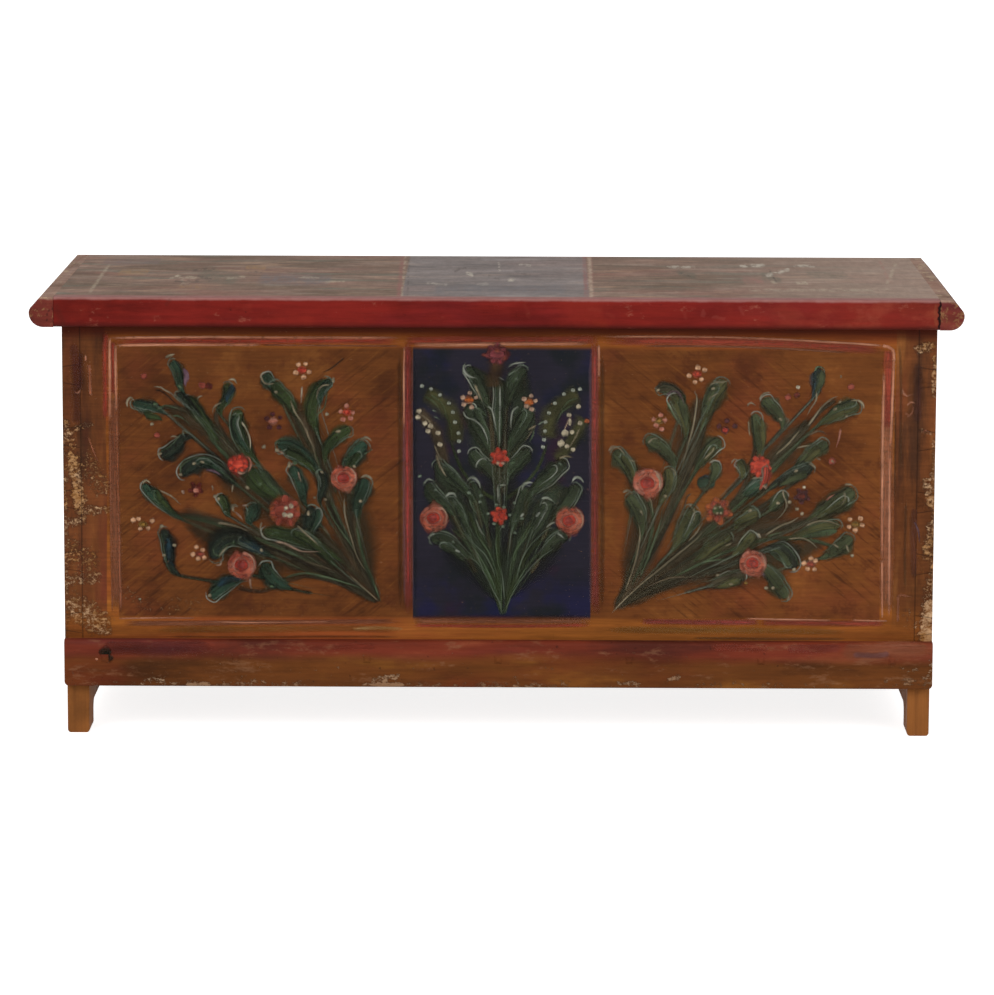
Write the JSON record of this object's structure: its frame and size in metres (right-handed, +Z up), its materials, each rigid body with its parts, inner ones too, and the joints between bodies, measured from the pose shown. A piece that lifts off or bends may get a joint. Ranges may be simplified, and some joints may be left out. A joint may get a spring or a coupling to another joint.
{
  "type": "painted chest",
  "caption": "Long low painted wooden chest with dovetailed walls, front skirting, sledge runners, open till and an overhanging hinged lid.",
  "frame": {"origin": "on the floor, in the middle of the chest's bounding box with the lid shut", "axes": "+X to the right seen from the front, +Y to the back, +Z up; the front faces -Y"},
  "size_m": [1.3, 0.5746, 0.6223],
  "materials": {
    "front_paint": "aged oil paint, red frames, brown and indigo fields, flowers",
    "wall_paint": "thin aged red-brown paint over pine",
    "skirting_paint": "worn purple-brown paint",
    "lid_paint": "faded grey-brown paint, dusty",
    "lip_paint": "aged red oil paint",
    "batten_paint": "worn red paint with bare edges",
    "bare_wood": "bare aged pine",
    "iron": "forged, dark, slightly rusted"
  },
  "bodies": {
    "carcass": {"front_lower_board": "front_paint", "front_upper_board": "front_paint", "left_lower_board": "wall_paint", "left_upper_board": "wall_paint", "right_lower_board": "wall_paint", "right_upper_board": "wall_paint", "back_lower_board": "bare_wood", "back_upper_board": "bare_wood", "bottom_front_board": "bare_wood", "bottom_middle_board": "bare_wood", "bottom_back_board": "bare_wood", "left_runner": "bare_wood", "right_runner": "bare_wood", "till_bottom": "bare_wood", "till_partition": "bare_wood", "front_skirting": "skirting_paint", "left_hinge_leaf": "iron", "right_hinge_leaf": "iron", "left_hinge_pin": "iron", "right_hinge_pin": "iron", "skirting_nails": "iron", "bottom_nails": "iron", "runner_nails": "iron", "leaf_nails": "iron"},
    "lid": {"lid_front_board": "lid_paint", "lid_back_board": "lid_paint", "lid_front_lip": "lip_paint", "lip_nails": "lip_paint", "lid_left_batten": "batten_paint", "lid_right_batten": "batten_paint", "batten_pegs": "bare_wood", "left_hinge_strap": "iron", "right_hinge_strap": "iron", "strap_nails": "iron"}
  },
  "joints": [
    {"name": "lid_hinge", "type": "hinge", "parent": "carcass", "child": "lid", "pos_m": [0, 0.2802, 0.59122], "axis": [-1, 0, 0], "range_deg": [0, 100]}
  ]
}
